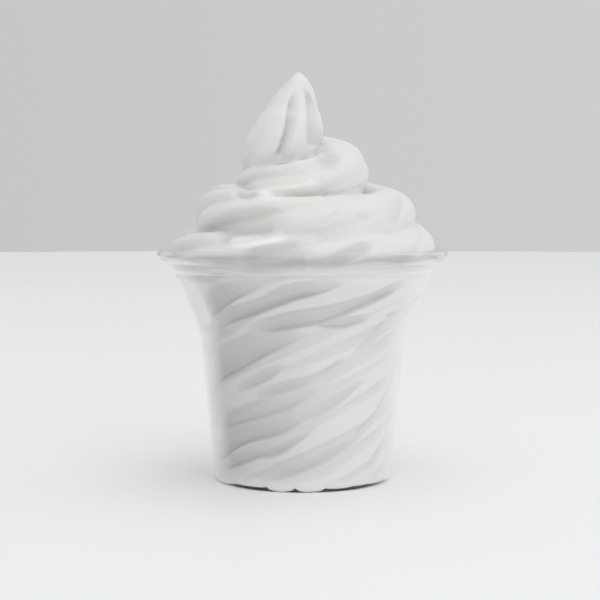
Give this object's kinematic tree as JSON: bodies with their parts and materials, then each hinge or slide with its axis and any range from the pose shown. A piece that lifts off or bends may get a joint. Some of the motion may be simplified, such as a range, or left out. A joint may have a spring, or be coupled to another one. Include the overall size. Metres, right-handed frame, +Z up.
{
  "type": "vanilla soft-serve sundae in a clear cup",
  "caption": "White soft-serve ice cream piped in ribbed turns up to a drawn-out tip, filling a clear thin plastic cup that flares to a rolled lip.",
  "frame": {"origin": "middle of the cup's foot, on the surface that it stands on", "axes": "+Z up along the cup's axis towards the tip of the ice cream, -Y the front that the picture shows, +X to the right seen from the front"},
  "size_m": [0.095, 0.095, 0.1327],
  "materials": {
    "clear_plastic": "clear, glossy, thin thermoformed sheet",
    "ice_cream": "soft satin, slightly wet, stands for vanilla ice cream"
  },
  "bodies": {
    "root": {"cup": "clear_plastic", "soft_serve": "ice_cream"}
  },
  "joints": []
}
